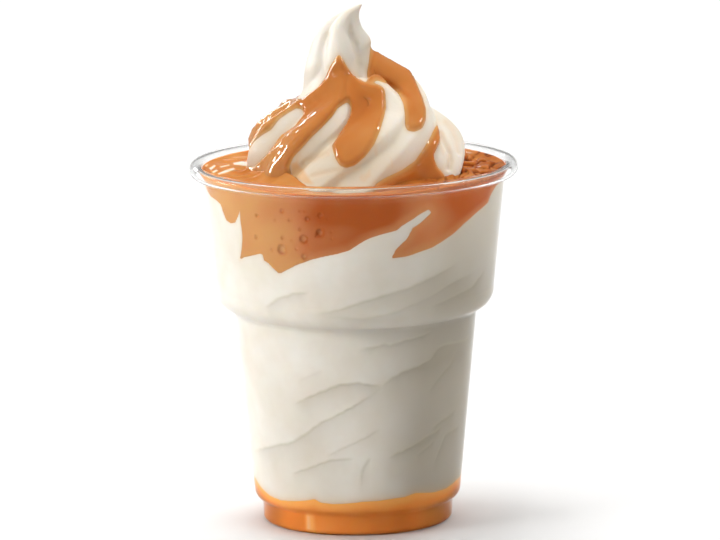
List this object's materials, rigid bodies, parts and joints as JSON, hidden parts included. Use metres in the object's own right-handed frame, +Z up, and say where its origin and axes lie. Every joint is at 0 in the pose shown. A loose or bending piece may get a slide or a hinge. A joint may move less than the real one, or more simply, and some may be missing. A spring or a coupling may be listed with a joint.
{
  "type": "ice cream sundae",
  "caption": "Soft-serve ice cream sundae in a clear stepped plastic cup, over a layer of caramel sauce, with more sauce pooled at the rim and run down the piped, hooked swirl.",
  "frame": {"origin": "middle of the cup's foot, on the surface that it stands on", "axes": "+Z up, -Y towards the viewer of the sundae's front, +X to that viewer's right"},
  "size_m": [0.095, 0.095, 0.1506],
  "materials": {
    "cup": "thin clear plastic, glossy",
    "caramel_base": "caramel sauce, glossy and translucent",
    "soft_serve": "soft-serve ice cream, smooth with a soft sheen",
    "caramel_topping": "caramel sauce, glossy and slightly translucent"
  },
  "bodies": {
    "root": {"cup": "cup", "caramel_base": "caramel_base", "soft_serve": "soft_serve", "caramel_topping": "caramel_topping"}
  },
  "joints": []
}
